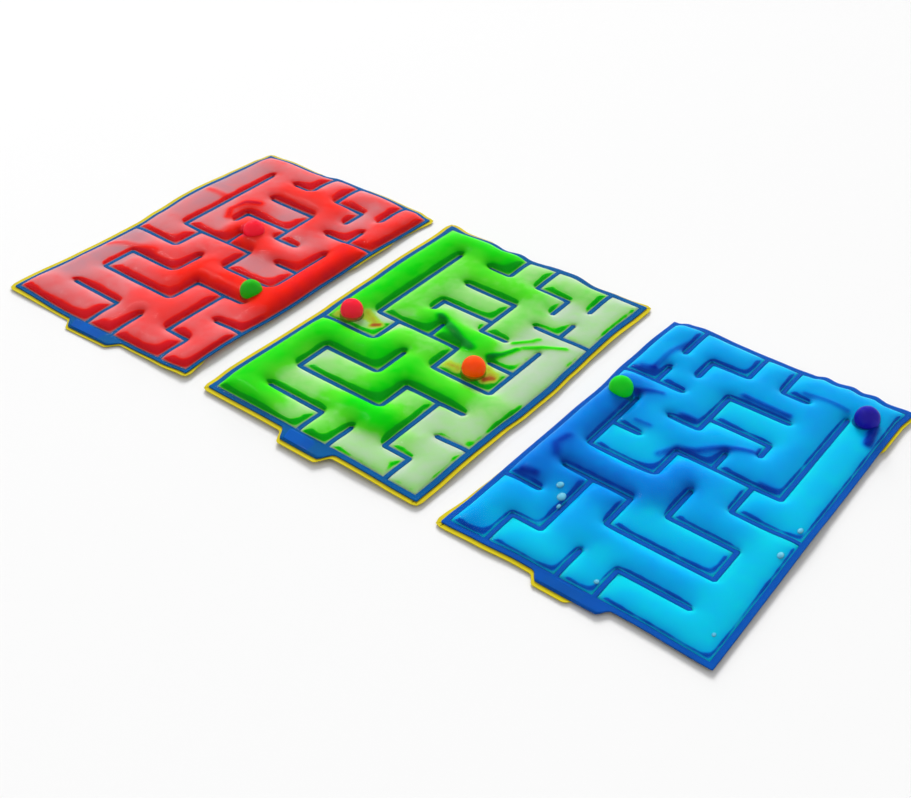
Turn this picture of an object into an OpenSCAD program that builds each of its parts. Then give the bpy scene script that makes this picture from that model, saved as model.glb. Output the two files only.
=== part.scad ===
// Gel maze game: three flat pads that lie side by side. In each pad a clear film is
// welded to a base film along the lines of a maze. Coloured gel fills the channels
// between the lines, and two marbles are pushed through it from outside.
// A pad's length runs along Y, with its filling tab at -Y, and the pads stand along X.

/* [Maze] */
// Distance between maze lines along the length of a pad
cell_l = 22; // [21:0.5:26]
// Distance between maze lines across a pad
cell_w = 20; // [20:0.5:24]
// Width of a welded maze line
line_w = 2.6; // [2:0.1:2.8]

/* [Pad] */
// Thickness of the base film and of the top film
film_t = 0.4; // [0.3:0.05:0.5]
// Height of the welded web between the two films
web_h = 1.6; // [1.2:0.1:2]
// Height of the gel in the channels, above the base film
gel_h = 6; // [4:0.25:6.5]
// Reach of the welded border outside the outermost maze line
border_w = 2.3; // [2:0.1:4]
// Radius of the pad's corners
corner_r = 3.5; // [2:0.5:6]
// Width of the coloured rim outside the welded border
rim_w = 2.4; // [1.5:0.1:3]
// Thickness of the coloured rim
rim_h = 1.2; // [0.8:0.1:1.6]

/* [Filling tab] */
// Width of the tab where it leaves the border
tab_w = 40; // [32:1:46]
// Width of the tab at its outer edge
tab_end_w = 27; // [22:1:32]
// Reach of the tab beyond the border
tab_reach = 8; // [6:0.5:10]
// Width of the filling port that the seal closes
port_w = 11; // [8:0.5:14]

/* [Marbles] */
// Diameter of a marble
marble_d = 13; // [12:0.5:14]
// Free space between a marble and the gel and film around it
marble_play = 0.4; // [0.35:0.05:0.5]

/* [Set] */
// Distance between the centres of neighbouring pads
pad_pitch = 158; // [156:1:220]

/* [Hidden] */
$fn = 32;

// Places in the maze are [along, across]: the number of the line along the length,
// counted from the tab, and the number of the line across, counted from -X.
cols = 9.5;
rows = 7;
row_a = 1.17; // first line across, set wide of a whole cell
row_b = 1.91;
row_c = 2.28; // tops of the three short walls in the far half
row_d = 5.09;
row_e = 5.89; // last line across
MAZE = [
    [[0, 3], [1, 3], [1, row_a]],
    [[0, 4], [1, 4]],
    [[3, row_e], [3, 4], [2, 4], [2, row_a], [3, row_a], [3, 3], [4, 3]],
    [[0, row_e], [1, row_e], [1, row_d], [3, row_d]],
    [[2, rows], [2, row_e]],
    [[4, 0], [4, row_b], [5, row_b]],
    [[8.5, row_a], [5, row_a], [5, 4], [4, 4], [4, row_e], [6.1, row_e]],
    [[5, row_e], [5, row_d]],
    [[5, 3], [5.6, 3]],
    [[6, row_c], [6.5, row_c], [6.5, 4]],
    [[6, 4.85], [6, 4], [7.5, 4], [7.5, row_c]],
    [[8.5, row_c], [8.5, 3], [cols, 3]],
    [[cols, 4], [8.5, 4], [8.5, row_d], [7.75, row_d]],
    [[7, rows], [7, row_d]],
    [[7, row_e], [7.65, row_e]],
    [[cols, row_e], [8.4, row_e]]
];

marble_r = marble_d / 2;
marble_gap = 0.3; // free space under a marble
marble_z = film_t + marble_gap + marble_r;
track_r = marble_r + marble_play;
web_top = film_t + web_h;
gel_top = film_t + gel_h;
maze_size = [rows * cell_w, cols * cell_l];
pad_shift = tab_reach / 2; // brings the middle of the set, tabs included, to the origin
skin_gap = 0.1; // clear space between the gel and the top film
port_end = 3; // welded margin beyond the outer end of the port
bite = 1; // length by which one shape runs into or past another

// The nearest that the middle of a marble comes to a maze line, along and across.
stop_l = (line_w / 2 + film_t + track_r + skin_gap) / cell_l;
stop_w = (line_w / 2 + film_t + track_r + skin_gap) / cell_w;

// Each marble: its place at rest, and the two ends of the straight run it rolls along.
// The third pad is turned over, so its places count across from +X.
RED_GREEN = [[3 + stop_l, 5.75], [3 + stop_l, 3 + stop_w], [3 + stop_l, rows - stop_w]];
RED_CRIMSON = [[6 - stop_l, 3 + stop_w], [6 - stop_l, 3 + stop_w], [6 - stop_l, row_e - stop_w]];
GREEN_RED = [[4 + stop_l, row_a - stop_w], [4 + stop_l, row_a - stop_w], [cols - stop_l, row_a - stop_w]];
GREEN_ORANGE = [[4 + stop_l, 5.05], [4 + stop_l, 4 + stop_w], [4 + stop_l, row_e - stop_w]];
BLUE_GREEN = [[5.98, row_e + stop_w], [2 + stop_l, row_e + stop_w], [7 - stop_l, row_e + stop_w]];
BLUE_NAVY = [[8.6, row_a - stop_w], [4 + stop_l, row_a - stop_w], [cols - stop_l, row_a - stop_w]];

film_colour = [0.88, 0.93, 0.97, 0.45];
web_colour = [0.02, 0.36, 0.72];
rim_colour = [0.93, 0.82, 0.08];
red_gel = [0.95, 0.16, 0.12, 0.85];
green_gel = [0.25, 0.85, 0.12, 0.85];
blue_gel = [0.02, 0.62, 0.92, 0.85];

function place(p) = [(p[1] - rows / 2) * cell_w, (p[0] - cols / 2) * cell_l];

// One straight stretch of a maze line, w wide.
module bar(a, b, w) {
    low = [min(a[0], b[0]), min(a[1], b[1])];
    high = [max(a[0], b[0]), max(a[1], b[1])];
    side = a[0] == b[0] ? [w, 0] : [0, w];
    translate(low - side / 2) square(high - low + side);
}

// Every maze line inside the border, w wide and with round ends and corners.
module maze_lines(w) {
    for (line = MAZE) {
        for (i = [1 : len(line) - 1]) bar(place(line[i - 1]), place(line[i]), w);
        for (p = line) translate(place(p)) circle(r = w / 2);
    }
}

// The channels seen from above, with their edges drawn in by inset.
module channels_2d(inset) {
    open = maze_size - [1, 1] * (line_w + 2 * inset);
    difference() {
        square(open, center = true);
        maze_lines(line_w + 2 * inset);
    }
}

// The outline of the welded border with its tab, grown by grow.
module sheet_2d(grow) {
    r = corner_r + grow;
    side = maze_size[0] / 2 + border_w + grow;
    end = maze_size[1] / 2 + border_w + grow;
    root = tab_w / 2 + grow;
    tip = tab_end_w / 2 + grow;
    outer = end + tab_reach;
    square(2 * [side - r, end], center = true);
    square(2 * [side, end - r], center = true);
    for (x = [r - side, side - r], y = [r - end, end - r]) translate([x, y]) circle(r = r);
    polygon([
        [-root, bite - end], [-root, -end], [-tip, r - outer], [r - tip, -outer],
        [tip - r, -outer], [tip, r - outer], [root, -end], [root, bite - end]
    ]);
    for (x = [r - tip, tip - r]) translate([x, r - outer]) circle(r = r);
}

// The filling port: a neck through the border and the tab, closed near its outer end.
module port_2d() {
    inner = -maze_size[1] / 2 + line_w / 2;
    outer = -maze_size[1] / 2 - border_w - tab_reach + port_end;
    translate([-port_w / 2, outer]) square([port_w, inner - outer]);
}

// The space that a marble needs between the two ends of its run, r round its centre.
module track(marble, r) {
    a = place(marble[1]);
    b = place(marble[2]);
    run = norm(b - a);
    translate([a[0], a[1], marble_z])
        rotate([0, 0, atan2(b[1] - a[1], b[0] - a[0])]) {
            sphere(r = r);
            rotate([0, 90, 0]) cylinder(r = r, h = run);
            translate([run, 0, 0]) sphere(r = r);
        }
}

module base_film() {
    color(film_colour)
        linear_extrude(height = film_t) sheet_2d(rim_w);
}

module edge_rim() {
    color(rim_colour)
        translate([0, 0, film_t])
            linear_extrude(height = rim_h)
                difference() {
                    sheet_2d(rim_w);
                    sheet_2d(0);
                }
}

module maze_web() {
    color(web_colour)
        translate([0, 0, film_t])
            linear_extrude(height = web_h)
                difference() {
                    sheet_2d(0);
                    channels_2d(0);
                    port_2d();
                }
}

module port_seal() {
    color(web_colour)
        translate([0, 0, film_t])
            linear_extrude(height = web_h) port_2d();
}

// The gel is cleared along the run of each marble.
module gel_fill(marbles, colour) {
    color(colour)
        difference() {
            translate([0, 0, film_t])
                linear_extrude(height = gel_h) channels_2d(film_t + skin_gap);
            for (m = marbles) track(m, track_r);
        }
}

// The top film lies flat on the web, stands up over each channel and is vaulted over
// the run of each marble.
module top_film(marbles) {
    color(film_colour)
        difference() {
            union() {
                translate([0, 0, web_top])
                    linear_extrude(height = film_t) sheet_2d(0);
                translate([0, 0, web_top])
                    linear_extrude(height = gel_top + skin_gap + film_t - web_top)
                        channels_2d(0);
                intersection() {
                    for (m = marbles) track(m, track_r + film_t);
                    translate([0, 0, web_top + marble_d])
                        cube([2 * maze_size[0], 2 * maze_size[1], 2 * marble_d], center = true);
                }
            }
            translate([0, 0, film_t])
                linear_extrude(height = gel_top + skin_gap - film_t) channels_2d(film_t);
            for (m = marbles) track(m, track_r);
        }
}

module marble(run, colour) {
    p = place(run[0]);
    color(colour)
        translate([p[0], p[1], marble_z]) sphere(r = marble_r);
}

module red_pad() {
    translate([-pad_pitch, pad_shift, 0]) children();
}

module green_pad() {
    translate([0, pad_shift, 0]) children();
}

// This pad lies the other way up, so its maze is the mirror image.
module blue_pad() {
    translate([pad_pitch, pad_shift, 0]) mirror([1, 0, 0]) children();
}

red_pad() base_film();  // red_base_film
red_pad() edge_rim();  // red_edge_rim
red_pad() maze_web();  // red_maze_web
red_pad() port_seal();  // red_port_seal
red_pad() gel_fill([RED_GREEN, RED_CRIMSON], red_gel);  // red_gel_fill
red_pad() top_film([RED_GREEN, RED_CRIMSON]);  // red_top_film
red_pad() marble(RED_GREEN, [0.1, 0.7, 0.05]);  // red_pad_green_marble
red_pad() marble(RED_CRIMSON, [0.95, 0.1, 0.25]);  // red_pad_crimson_marble

green_pad() base_film();  // green_base_film
green_pad() edge_rim();  // green_edge_rim
green_pad() maze_web();  // green_maze_web
green_pad() port_seal();  // green_port_seal
green_pad() gel_fill([GREEN_RED, GREEN_ORANGE], green_gel);  // green_gel_fill
green_pad() top_film([GREEN_RED, GREEN_ORANGE]);  // green_top_film
green_pad() marble(GREEN_RED, [0.95, 0.1, 0.2]);  // green_pad_red_marble
green_pad() marble(GREEN_ORANGE, [1, 0.35, 0]);  // green_pad_orange_marble

blue_pad() base_film();  // blue_base_film
blue_pad() edge_rim();  // blue_edge_rim
blue_pad() maze_web();  // blue_maze_web
blue_pad() port_seal();  // blue_port_seal
blue_pad() gel_fill([BLUE_GREEN, BLUE_NAVY], blue_gel);  // blue_gel_fill
blue_pad() top_film([BLUE_GREEN, BLUE_NAVY]);  // blue_top_film
blue_pad() marble(BLUE_GREEN, [0.1, 0.75, 0.1]);  // blue_pad_green_marble
blue_pad() marble(BLUE_NAVY, [0.12, 0.1, 0.6]);  // blue_pad_navy_marble
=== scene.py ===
"""Looks of three soft gel maze pads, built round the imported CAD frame.

Each pad is two films welded together along the lines of a maze. The channels between the
lines swell into pillows of coloured gel, and each marble lifts a dome in the film.
Places in the maze are (along, across): the number of the line along the pad from its tab,
and the number of the line across it. Lengths are in metres, but in mm in the table of pads.
"""

import math

import bpy
import numpy as np
from mathutils import Matrix, Vector


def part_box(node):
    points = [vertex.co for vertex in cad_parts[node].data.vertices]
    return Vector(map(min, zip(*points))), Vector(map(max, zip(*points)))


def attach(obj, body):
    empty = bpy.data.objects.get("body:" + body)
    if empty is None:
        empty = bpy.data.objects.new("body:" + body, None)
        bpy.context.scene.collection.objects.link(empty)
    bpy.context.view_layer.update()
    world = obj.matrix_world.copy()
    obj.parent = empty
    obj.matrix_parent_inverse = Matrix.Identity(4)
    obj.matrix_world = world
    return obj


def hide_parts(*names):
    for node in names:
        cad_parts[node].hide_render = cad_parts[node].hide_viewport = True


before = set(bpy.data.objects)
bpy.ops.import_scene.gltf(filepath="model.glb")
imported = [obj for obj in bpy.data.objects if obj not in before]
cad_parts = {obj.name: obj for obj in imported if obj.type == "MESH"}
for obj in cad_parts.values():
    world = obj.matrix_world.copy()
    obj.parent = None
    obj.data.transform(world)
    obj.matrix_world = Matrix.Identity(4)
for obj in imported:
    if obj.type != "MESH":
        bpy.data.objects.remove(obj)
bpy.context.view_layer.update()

MM = 0.001

# ---------------------------------------------------------------- the maze, as in the CAD
CELL_L, CELL_W = 22 * MM, 20 * MM
COLS, ROWS = 9.5, 7
BORDER = 2.3 * MM        # from the outermost line to the weld's edge
RIM = 2.4 * MM           # and on to the yellow film's edge
ROW_A, ROW_B, ROW_C, ROW_D, ROW_E = 1.17, 1.91, 2.28, 5.09, 5.89
MAZE = [
    [(0, 3), (1, 3), (1, ROW_A)],
    [(0, 4), (1, 4)],
    [(3, ROW_E), (3, 4), (2, 4), (2, ROW_A), (3, ROW_A), (3, 3), (4, 3)],
    [(0, ROW_E), (1, ROW_E), (1, ROW_D), (3, ROW_D)],
    [(2, ROWS), (2, ROW_E)],
    [(4, 0), (4, ROW_B), (5, ROW_B)],
    [(8.5, ROW_A), (5, ROW_A), (5, 4), (4, 4), (4, ROW_E), (6.1, ROW_E)],
    [(5, ROW_E), (5, ROW_D)],
    [(5, 3), (5.6, 3)],
    [(6, ROW_C), (6.5, ROW_C), (6.5, 4)],
    [(6, 4.85), (6, 4), (7.5, 4), (7.5, ROW_C)],
    [(8.5, ROW_C), (8.5, 3), (COLS, 3)],
    [(COLS, 4), (8.5, 4), (8.5, ROW_D), (7.75, ROW_D)],
    [(7, ROWS), (7, ROW_D)],
    [(7, ROW_E), (7.65, ROW_E)],
    [(COLS, ROW_E), (8.4, ROW_E)],
]
LENGTH, WIDTH = COLS * CELL_L, ROWS * CELL_W

# ---------------------------------------------------------------- sizes in a pad
CORNER_R = 0.9 * MM      # sharper than in the CAD, as the photograph shows it
WELD_Z = 2.2 * MM        # the plane in which the films are welded
EDGE_Z = 0.9 * MM        # the same at the pad's border, which lies on the table
EDGE_FALLS = 16 * MM     # distance over which the weld comes down to it
EDGE_WAVE = 0.5 * MM     # small waves in the border
SWELL = 7.5 * MM         # distance over which a pillow rises
CHANNEL_RISE = 0.43      # what the membrane reaches in the middle of a plain channel
CREST = 4.9 * MM         # height of a full pillow over the weld
EMPTY_CREST = 0.22       # share of that height where there is hardly any gel
ROUNDNESS = 0.65         # power that makes the pillows' flanks steep and their tops flat
CREASE_FADES = 3 * MM    # distance from a line at which a fold stands to its full height
UNDERSIDE = 0.5 * MM     # height of the gel's underside where the pad lies on the table
SETTLES = 4.0 * MM       # distance from a line at which it does
WEB_ABOVE, WEB_BELOW = 0.15 * MM, 0.4 * MM      # the blue web's faces, from the weld
SKIN_TOP, SKIN_INSIDE = 0.3 * MM, 0.2 * MM      # the top film's, over the gel
BASE_INSIDE, BASE_BOTTOM = 0.1 * MM, 0.4 * MM   # the base film's, under the gel
RIM_TUCK = 3 * MM        # how far the yellow film reaches in under the weld
RIM_DROP = 0.45 * MM     # its top face under the weld
RIM_THICK = 0.35 * MM
RIM_STEPS = 110          # places along one side at which it is drawn
SEAL_THICK = 0.3 * MM
SEAL_SHORT = 4.5         # how much narrower than half the tab's root it is at each side, in mm

# ---------------------------------------------------------------- grid, light and camera
FINE, COARSE = 0.55 * MM, 1.5 * MM              # spacing of the grid over a pad
STEP_GROWTH = 1.3        # from one spacing to the next
LEAST_GAP = 0.2 * MM     # between two lines of the grid
SWEEPS = 260             # of the membrane's solver
OVER_RELAXED = 1.75
BACK_LIGHT = (-0.9, 1.2, 0.9)                   # where the lights stand
LOW_LIGHT = (-0.9, 1.2, 0.42)
SOFT_BOX = (-1.3, 0.5, 1.4)
SHADE_X, SHADE_Y = (k / math.hypot(*BACK_LIGHT[:2]) for k in BACK_LIGHT[:2])
CAMERA_AZIMUTH, CAMERA_ELEVATION, CAMERA_ROLL = (math.radians(a) for a in (36.8, 38.4, 1.4))
CAMERA_DISTANCE = 0.653
CAMERA_LENS = 49.36
CAMERA_TARGET = Vector((36, -26, 2)) * MM
FLOOR_TONE = 0.825
FLOOR_SIZE = 12.0        # half its width
ROOM_LIGHT = 0.66
EXPOSURE = -0.22


def srgb(r, g, b):
    """Linear colour from the 0-255 values that it shows as."""
    linear = (((c / 255 + 0.055) / 1.055) ** 2.4 if c > 10 else c / 3295 for c in (r, g, b))
    return tuple(linear) + (1.0,)


# Each pad, all lengths in mm.
# "mirror": turned over, so that its maze is mirrored.
# "tones": its gel's colours, from thin to thick and then to shaded.
# "fill": how full of gel it is, from 0 to 1.
# "full": (fill, places), where the gel near a line through those places is that full.
# "line": how much of a maze line the gel leaves in sight, and "margin": how much of the pad
#     inside its outermost line.
# Slopes in shade darken:
# "band": the level up to which they do, "dark": how deep into the tones, "soft": how softly,
# "broken": how much the dark comes apart in patches,
# "shy": how much of it is left where the pad is nearly empty, and
# "flush": how much of it is lost where the pad is full.
# Round the pad, as pairs of (how far round, as perimeter() counts, length):
# "rim": how far the yellow film shows outside the weld, with less than 0 where it doesn't,
# "bow": how far the pad's edge bows outward, and "lift": how far it stands off the table.
# "tab": its reach, and half its width at the root and at the tip.
# "pull": (along, across, reach, place) where the soft film lies drawn aside.
# "creases": (height, width, places) of folds that the gel has been pushed into; the gel
#     darkens along them, partly as thicker gel and partly as painted shade.
# "bubbles": (radius, place) of air trapped under the film.
# "marble_shadows_and_caustics": (depth from 0 to 1, width, places) of a marble's painted shadow
#     and painted caustic light on the gel, in the colours of "marble_shadow_and_caustic_tones".
RED = {
    "mirror": False,
    "tones": [(184, 134, 144), (218, 126, 130), (236, 78, 78), (248, 30, 6), (212, 18, 42),
              (172, 8, 50)],
    "fill": 0.5,
    "broken": 0.6,
    "band": 0.9,
    "shy": 0.8,
    "flush": 0.75,
    "soft": 0.42,
    "dark": 0.8,
    "line": 2.3,
    "margin": 0.1,
    "full": [
        (0.02, [(1.2, 0.5), (1.8, 0.9), (3.4, 0.45)]),
        (0.35, [(0.5, 0.8), (0.5, 2.8)]),
        (0.35, [(1.5, 1.4), (1.6, 2.6)]),
        (0.2, [(4.5, 0.5), (6.0, 0.5)]),
        (0.02, [(6.3, 0.5), (8.3, 0.5)]),
        (0.35, [(4.5, 1.0), (4.5, 1.6)]),
        (0.4, [(9, 0.6), (9, 2.6)]),
        (0.2, [(5.6, 1.7), (6.4, 1.5)]),
        (0.45, [(7.0, 1.6), (8.2, 1.6)]),
        (0.8, [(6.9, 2.4), (6.7, 2.2)]),
        (0.65, [(1.7, 3.4), (1.5, 4.4), (1.8, 4.6)]),
        (0.5, [(0.5, 4.6), (0.5, 5.4)]),
        (0.5, [(0.5, 6.6), (1.5, 6.6)]),
        (0.85, [(3.0, 3.5), (3.45, 3.9), (3.5, 6.4)]),
        (0.95, [(3.6, 6.5), (6.7, 6.45)]),
        (0.85, [(5.6, 3.2), (5.35, 4.2), (5.4, 5.3)]),
        (0.1, [(4.6, 4.6), (4.55, 5.1)]),
        (0.45, [(5.7, 5.3), (6.4, 5.4)]),
        (0.1, [(5.9, 4.6), (5.9, 4.9)]),
        (0.12, [(7.1, 2.7), (7.1, 3.6)]),
        (0.8, [(8.0, 2.6), (8.0, 4.2), (7.2, 4.4)]),
        (0.5, [(6.5, 4.5), (7.4, 5.0)]),
        (0.25, [(7.4, 5.5), (8.4, 5.4)]),
        (0.7, [(7.3, 6.5), (9.0, 6.5)]),
    ],
    "rim": [(0, 2.8), (0.3, 1.8), (0.7, 1.4), (1, 2), (1.06, 0.8), (1.1, -1), (1.6, -1),
            (1.66, 1), (1.8, 1), (1.84, -1), (1.92, 0.6), (2, 2.4), (2.3, 1.6), (2.4, 1.2),
            (2.43, -1), (2.64, -1), (2.67, 1.6), (3, 2.6), (3.5, 3.2), (4, 3.2)],
    "tab": (6.2, 21.5, 14.5),
    "bow": [(0.002, 0.9), (0.28, 1.5), (0.7, -0.6), (0.86, -1.4), (0.998, -2.9),
            (1.002, -2.9), (1.1, -3.3), (1.2, -3.6), (1.32, -2.2), (1.42, -2.2), (1.55, -3.1),
            (1.7, -3.5), (1.85, -3.2), (1.998, -3.2),
            (2.002, -1.4), (2.1, 1), (2.29, 2.2), (2.43, 1.6), (2.57, 2), (2.64, -0.3),
            (2.71, -0.9), (2.86, -0.2), (2.998, -2.2),
            (3.002, -1.4), (3.06, 0.2), (3.18, 1), (3.37, 1), (3.48, -0.4), (3.56, -2.2),
            (3.68, -2.7), (3.8, -2.2), (3.998, -1.4)],
    "lift": [(0, 0.3), (0.6, 0.3), (0.85, 1.2), (1, 1.8), (1.2, 2.2), (1.4, 1.7), (1.8, 1.6),
             (2, 0.8), (2.5, 0.3), (3, 0), (3.3, 0.8), (3.6, 0), (4, 0.3)],
    "pull": [(-2.8, 0.3, 55, (5.4, 2.2)), (0.5, -3.0, 22, (9.0, 2.9))],
    # painted shadow of the crimson marble, on the gel beside it
    "marble_shadows_and_caustics": [(0.6, 3.6, [(5.8, 3.0), (5.5, 3.35)])],
    "marble_shadow_and_caustic_tones": [(248, 66, 80), (250, 44, 74), (242, 26, 64)],
    "creases": [
        (0.3, 3.4, [(2.8, 0.25), (3.1, 0.7), (3.3, 1.8)]),
        (0.3, 3.0, [(6.7, 0.2), (6.75, 0.9)]),
        (0.4, 2.4, [(5.95, 2.0), (6.3, 1.75), (6.75, 1.9), (6.95, 2.3)]),
    ],
}
GREEN = {
    "mirror": False,
    "tones": [(182, 206, 176), (154, 216, 126), (84, 218, 34), (2, 210, 0), (0, 172, 14),
              (0, 136, 34)],
    "fill": 0.3,
    "broken": 0.9,
    "band": 0.75,
    "shy": 0.35,
    "flush": 0.1,
    "soft": 0.18,
    "dark": 0.86,
    "line": 2.7,
    "margin": 1.2,
    "full": [
        (0.85, [(4.9, 0.55), (9.0, 0.6), (9.0, 2.6)]),
        (0.85, [(0.6, 1.6), (0.6, 0.6), (3.4, 0.6), (3.5, 2.4), (4.1, 2.5)]),
        (0.3, [(0.6, 2.2), (0.5, 2.7)]),
        (0.25, [(1.5, 1.4), (1.6, 1.9)]),
        (0.5, [(1.6, 2.4), (1.6, 2.8)]),
        (0.95, [(1.6, 3.4), (1.7, 4.4)]),
        (0.45, [(0.5, 3.5), (0.9, 3.5)]),
        (0.22, [(2.5, 1.4), (2.6, 1.9)]),
        (0.45, [(2.5, 2.4), (2.5, 3.0)]),
        (0.85, [(2.5, 3.5), (3.4, 3.5), (3.3, 5.2)]),
        (0.45, [(3.7, 4.4), (3.6, 5.9)]),
        (0.5, [(4.5, 2.6), (4.5, 3.4)]),
        (0.4, [(2.3, 4.5), (2.6, 4.5)]),
        (0.08, [(0.4, 4.5), (0.5, 5.4)]),
        (0.06, [(0.4, 6.5), (2.7, 6.4), (2.4, 5.5)]),
        (0.3, [(3.3, 6.3), (3.5, 6.7)]),
        (0.0, [(4.3, 6.5), (6.7, 6.4), (6.5, 5.4), (5.6, 5.4)]),
        (0.02, [(4.5, 1.3), (4.6, 1.6)]),
        (0.25, [(4.5, 4.5), (4.5, 5.5)]),
        (0.5, [(5.5, 1.5), (8.2, 1.6)]),
        (0.8, [(5.6, 2.9), (5.3, 3.8), (5.3, 4.6)]),
        (0.2, [(6.2, 3.1), (6.2, 3.6)]),
        (0.3, [(7.1, 2.6), (7.1, 3.6)]),
        (0.6, [(8.0, 2.4), (8.0, 4.2)]),
        (0.3, [(9.1, 3.5), (8.6, 3.5)]),
        (0.35, [(6.4, 4.5), (7.6, 4.5)]),
        (0.3, [(9.0, 4.5), (9.0, 5.4)]),
        (0.02, [(7.4, 6.5), (8.1, 6.2), (8.0, 5.4)]),
        (0.12, [(9.1, 6.5), (8.8, 6.5)]),
    ],
    "rim": [(0, 2.6), (1, 2.4), (1.5, 2), (2, 2.6), (2.1, 1.2), (2.4, 0.6), (2.44, -1),
            (2.74, -1), (2.8, 1.4), (3, 2.8), (4, 2.8)],
    "tab": (7.5, 18, 12),
    "bow": [(0.002, -3), (0.3, -3.2), (0.7, -3), (0.998, -2.8),
            (1.002, -2.6), (1.1, -2.3), (1.32, -2), (1.42, -0.6), (1.53, -0.3), (1.63, -1.4),
            (1.74, -2.3), (1.84, -2.6), (1.998, -2.0),
            (2.002, 0.6), (2.14, 0.3), (2.24, -1.2), (2.36, 2), (2.43, 1.6), (2.57, -0.5),
            (2.64, 1.4), (2.71, -0.6), (2.79, 1.6), (2.93, 0), (2.998, 2),
            (3.002, 1.8), (3.05, 1.1), (3.4, 0.9), (3.5, 0.6), (3.58, -0.3), (3.9, 0.2),
            (3.998, -0.8)],
    "lift": [(0, 1.2), (0.3, 1.6), (0.7, 1.5), (1, 1.5), (1.5, 1.7), (2, 1), (2.4, 1.2),
             (3, 0.6), (3.5, 0.2), (4, 0.8)],
    "pull": [(-1.2, 0, 30, (7.0, 3.0))],
    # painted shadows and caustic light beside the pad's two marbles, in lime and dark brown-red
    # patches
    "marble_shadows_and_caustics": [
        (0.55, 4.6, [(4.66, 1.1), (4.5, 1.5)]),
        (0.95, 2.3, [(4.4, 1.5), (4.52, 1.62)]),
        (0.5, 3.6, [(4.22, 0.4), (4.24, 0.8)]),
        (0.62, 5.2, [(4.72, 4.95), (4.6, 5.45)]),
        (0.95, 2.7, [(4.32, 5.45), (4.5, 5.6)]),
        (0.56, 4.2, [(4.3, 4.3), (4.3, 4.6)]),
    ],
    "marble_shadow_and_caustic_tones": [(120, 206, 70), (166, 214, 70), (172, 200, 50), (178, 118, 40),
                    (168, 70, 30)],
    "creases": [
        (0.7, 2.3, [(5.75, 2.8), (5.5, 3.3), (5.2, 3.9), (5.05, 4.4)]),
        (0.75, 1.8, [(5.1, 5.0), (5.4, 5.2), (5.85, 5.35)]),
        (0.5, 1.7, [(6.0, 5.45), (6.3, 5.8), (6.6, 6.4)]),
        (0.5, 1.5, [(6.0, 5.1), (6.35, 5.45), (6.55, 5.55)]),
    ],
}
BLUE = {
    "mirror": True,
    "tones": [(0, 200, 224), (0, 176, 230), (0, 150, 226), (0, 118, 210), (0, 88, 192),
              (0, 44, 160)],
    "fill": 0.42,
    "broken": 0.9,
    "band": 0.6,
    "shy": 0.6,
    "flush": 0.3,
    "soft": 0.22,
    "dark": 0.95,
    "line": 2.5,
    "margin": 1.0,
    "full": [
        (0.9, [(2.6, 6.5), (6.2, 6.4)]),
        (0.8, [(3.2, 6.0), (3.1, 4.2), (4.0, 3.6)]),
        (0.0, [(0.6, 0.6), (4.0, 0.55)]),
        (0.1, [(4.4, 0.55), (8.2, 0.6)]),
        (0.1, [(0.5, 1.4), (0.5, 2.7)]),
        (0.12, [(0.5, 3.5), (0.8, 3.6)]),
        (0.12, [(0.5, 4.6), (0.6, 5.5)]),
        (0.15, [(2.5, 1.5), (2.5, 3.4)]),
        (0.15, [(4.5, 5.4), (4.5, 4.6)]),
        (0.15, [(7.0, 3.5), (7.0, 2.6)]),
        (0.45, [(7.4, 6.4), (9.0, 6.3)]),
        (0.3, [(4.5, 1.2), (4.5, 1.6)]),
    ],
    "rim": [(0, -1), (0.46, -1), (0.5, 2.4), (1, 2.6), (1.1, 1.4), (1.2, 0.6), (1.28, -1),
            (3, -1), (3.02, 1.6), (3.16, 1.4), (3.19, -1), (3.99, -1)],
    "tab": (5.3, 20.5, 15.5),
    "bow": [(0.002, -1), (0.28, -2.2), (0.7, -1.9), (0.86, -0.6), (0.998, 0),
            (1.002, -0.8), (1.1, -1.8), (1.3, -2.4), (1.5, -2.7), (1.63, -3.3), (1.74, -2.2),
            (1.84, -2.7), (1.998, -3.8),
            (2.002, -1.6), (2.07, 1.5), (2.14, 3), (2.29, 2.2), (2.43, 1.6), (2.54, 1.2),
            (2.62, 1.8), (2.66, 4), (2.71, 2.6), (2.77, 4), (2.81, 2.4), (2.86, 4),
            (2.91, 2.2), (2.998, 3.6),
            (3.002, -1), (3.05, -2.4), (3.5, -2.2), (3.998, -1.8)],
    "lift": [(0, 1.0), (0.5, 0.6), (1, 0.8), (1.5, 0.4), (2, 0.6), (2.3, 0.4), (2.6, 1.0),
             (2.8, 1.4), (3, 1.2), (3.5, 1.4), (4, 1.0)],
    "pull": [],
    "creases": [
        (0.5, 1.9, [(4.6, 4.3), (5.05, 4.05), (5.2, 3.6), (5.7, 3.1), (6.0, 2.4)]),
        (0.4, 1.8, [(6.2, 6.0), (6.5, 5.4)]),
        (0.4, 1.6, [(7.3, 6.2), (8.2, 6.15), (9.3, 5.9)]),
        # the deepest fold carries the navy marble's dark tail: painted shadow
        (1.6, 2.6, [(8.7, 0.75), (8.5, 0.45), (7.9, 0.3)]),
        (0.4, 2.2, [(2.25, 6.2), (2.2, 6.6)]),
        (0.32, 2.8, [(3.05, 6.2), (3.3, 6.4), (3.7, 6.3)]),
        (0.4, 2.6, [(7.3, 6.1), (7.2, 6.5)]),
        (0.45, 1.8, [(6.2, 4.25), (6.15, 4.6)]),
        (0.5, 1.8, [(7.7, 2.4), (7.72, 3.7)]),
        (0.4, 1.5, [(5.15, 1.4), (5.15, 1.8)]),
        (0.35, 1.5, [(8.7, 1.3), (8.72, 2.5)]),
        (0.4, 1.5, [(5.3, 5.0), (5.3, 5.4)]),
    ],
    "bubbles": [(1.6, (0.42, 3.17)), (1.3, (0.66, 0.36)), (2.3, (3.4, 0.28)),
                (2.0, (4.32, 0.27)), (3.0, (2.05, 5.3)), (2.3, (2.3, 5.52)),
                (1.7, (1.8, 5.2))],
}
PADS = {"red": RED, "green": GREEN, "blue": BLUE}

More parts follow.
